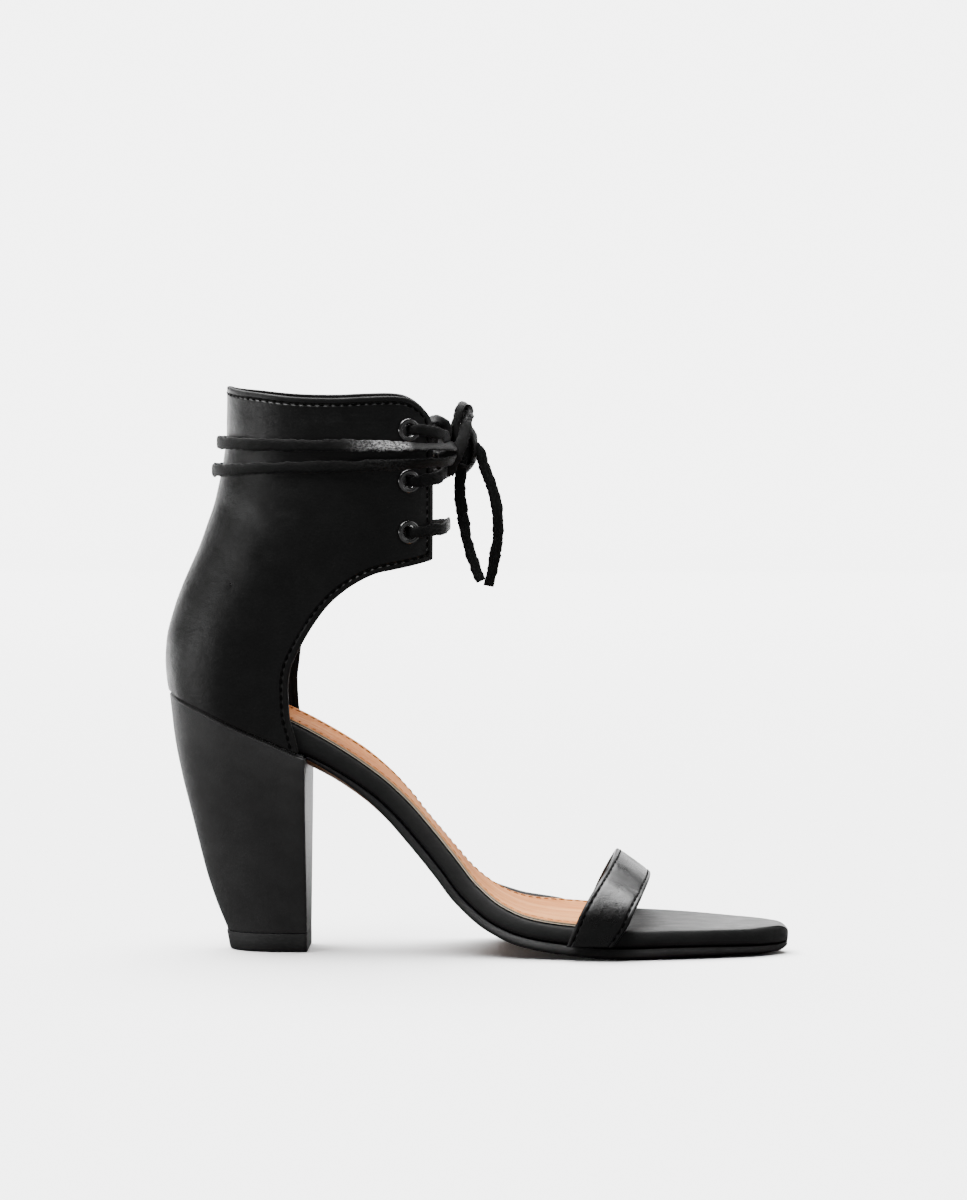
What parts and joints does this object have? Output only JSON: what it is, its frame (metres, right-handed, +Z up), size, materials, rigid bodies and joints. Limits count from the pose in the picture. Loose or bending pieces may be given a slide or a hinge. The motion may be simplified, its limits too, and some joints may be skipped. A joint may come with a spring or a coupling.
{
  "type": "lace up heeled sandal",
  "caption": "Left heeled sandal with a closed heel counter and ankle cuff in one piece, a toe strap, a wrapped block heel and a flat lace wound round the ankle.",
  "frame": {"origin": "on the floor, under the middle of the shoe's length and width, the free ends of the lace left out", "axes": "+X points to the toe along the shoe's length, +Z up, -Y to the inner (medial) side of the left foot"},
  "size_m": [0.223, 0.0852, 0.2016],
  "materials": {
    "black_leather": "smooth black leather, satin",
    "heel_leather": "smooth black leather wrapped over the heel, satin",
    "sock_leather": "tan leather, matt",
    "sole_leather": "black sole leather with a burnished edge and a tan underside at the waist",
    "lace_leather": "flat cut black leather, matt with raw edges",
    "lift_rubber": "hard black rubber, matt",
    "eyelet_metal": "dark polished nickel"
  },
  "bodies": {
    "root": {"outsole": "sole_leather", "footbed": "black_leather", "insole_sock": "sock_leather", "heel_block": "heel_leather", "top_lift": "lift_rubber", "upper_counter_cuff": "black_leather", "toe_strap": "black_leather", "eyelet_inner_1": "eyelet_metal", "eyelet_inner_2": "eyelet_metal", "eyelet_inner_3": "eyelet_metal", "eyelet_outer_1": "eyelet_metal", "eyelet_outer_2": "eyelet_metal", "eyelet_outer_3": "eyelet_metal", "lace_bar_low": "lace_leather", "lace_crossing": "lace_leather", "ankle_wrap_upper": "lace_leather", "ankle_wrap_lower": "lace_leather", "lace_knot": "lace_leather", "lace_bow_loop": "lace_leather", "lace_end_inner": "lace_leather", "lace_end_outer": "lace_leather"}
  },
  "joints": []
}
